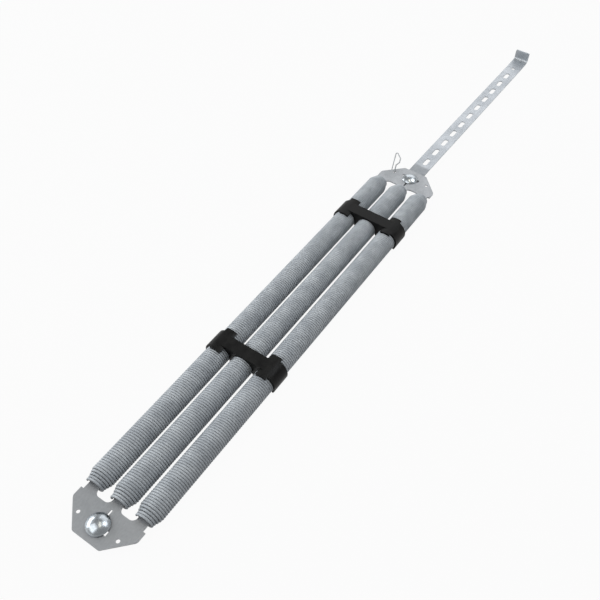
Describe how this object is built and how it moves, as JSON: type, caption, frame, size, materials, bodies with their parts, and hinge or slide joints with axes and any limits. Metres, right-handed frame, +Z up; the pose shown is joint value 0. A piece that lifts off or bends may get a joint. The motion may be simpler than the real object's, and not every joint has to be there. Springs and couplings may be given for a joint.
{
  "type": "garage door extension spring",
  "caption": "Garage door extension spring pack: close-wound steel springs side by side between fingered end plates, with moulded clips, dome-headed bolts and a slotted tension strap.",
  "frame": {"origin": "middle of the underside of the pack as it lies flat on its springs", "axes": "+X along the springs towards the tension strap, +Y across the springs, +Z up, out of the side with the dome heads"},
  "size_m": [1.451, 0.1328, 0.0422],
  "materials": {
    "spring_wire": "galvanised spring wire, satin",
    "plate_steel": "zinc-plated sheet steel, dull",
    "strap_steel": "zinc-plated strip steel",
    "bolt_zinc": "bright zinc",
    "clip_plastic": "black moulded plastic, matte",
    "clip_wire": "spring wire"
  },
  "bodies": {
    "pack": {"spring_left": "spring_wire", "spring_middle": "spring_wire", "spring_right": "spring_wire", "lower_plate": "plate_steel", "lower_bolt": "bolt_zinc", "lower_nut": "bolt_zinc"},
    "upper_end": {"upper_plate": "plate_steel", "upper_bolt": "bolt_zinc", "upper_nut": "bolt_zinc"},
    "strap": {"tension_strap": "strap_steel"},
    "safety_clip": {"wire_clip": "clip_wire"},
    "lower_clip": {"lower_spring_clip": "clip_plastic"},
    "upper_clip": {"upper_spring_clip": "clip_plastic"}
  },
  "joints": [
    {"name": "spring_stretch", "type": "slide", "parent": "pack", "child": "upper_end", "axis": [1, 0, 0], "range_m": [0, 0.35], "stiffness_N_per_m": 1040, "deforming": ["spring_left", "spring_middle", "spring_right"]},
    {"name": "lower_clip_slide", "type": "slide", "parent": "pack", "child": "lower_clip", "axis": [1, 0, 0], "range_m": [0, 0.1257]},
    {"name": "upper_clip_slide", "type": "slide", "parent": "pack", "child": "upper_clip", "axis": [1, 0, 0], "range_m": [0, 0.3016]},
    {"name": "strap_swivel", "type": "hinge", "parent": "upper_end", "child": "strap", "pos_m": [0.15498, 0, 0.019], "axis": [0, 0, 1], "range_deg": [-15, 15]},
    {"name": "wire_clip_swing", "type": "hinge", "parent": "upper_end", "child": "safety_clip", "pos_m": [0.15618, 0.0354, 0.019], "axis": [0, 0, 1], "range_deg": [-10, 25]}
  ],
  "couplings": [
    {"joint": "lower_clip_slide", "follows": "spring_stretch", "ratio": 0.3576},
    {"joint": "upper_clip_slide", "follows": "spring_stretch", "ratio": 0.8603}
  ]
}
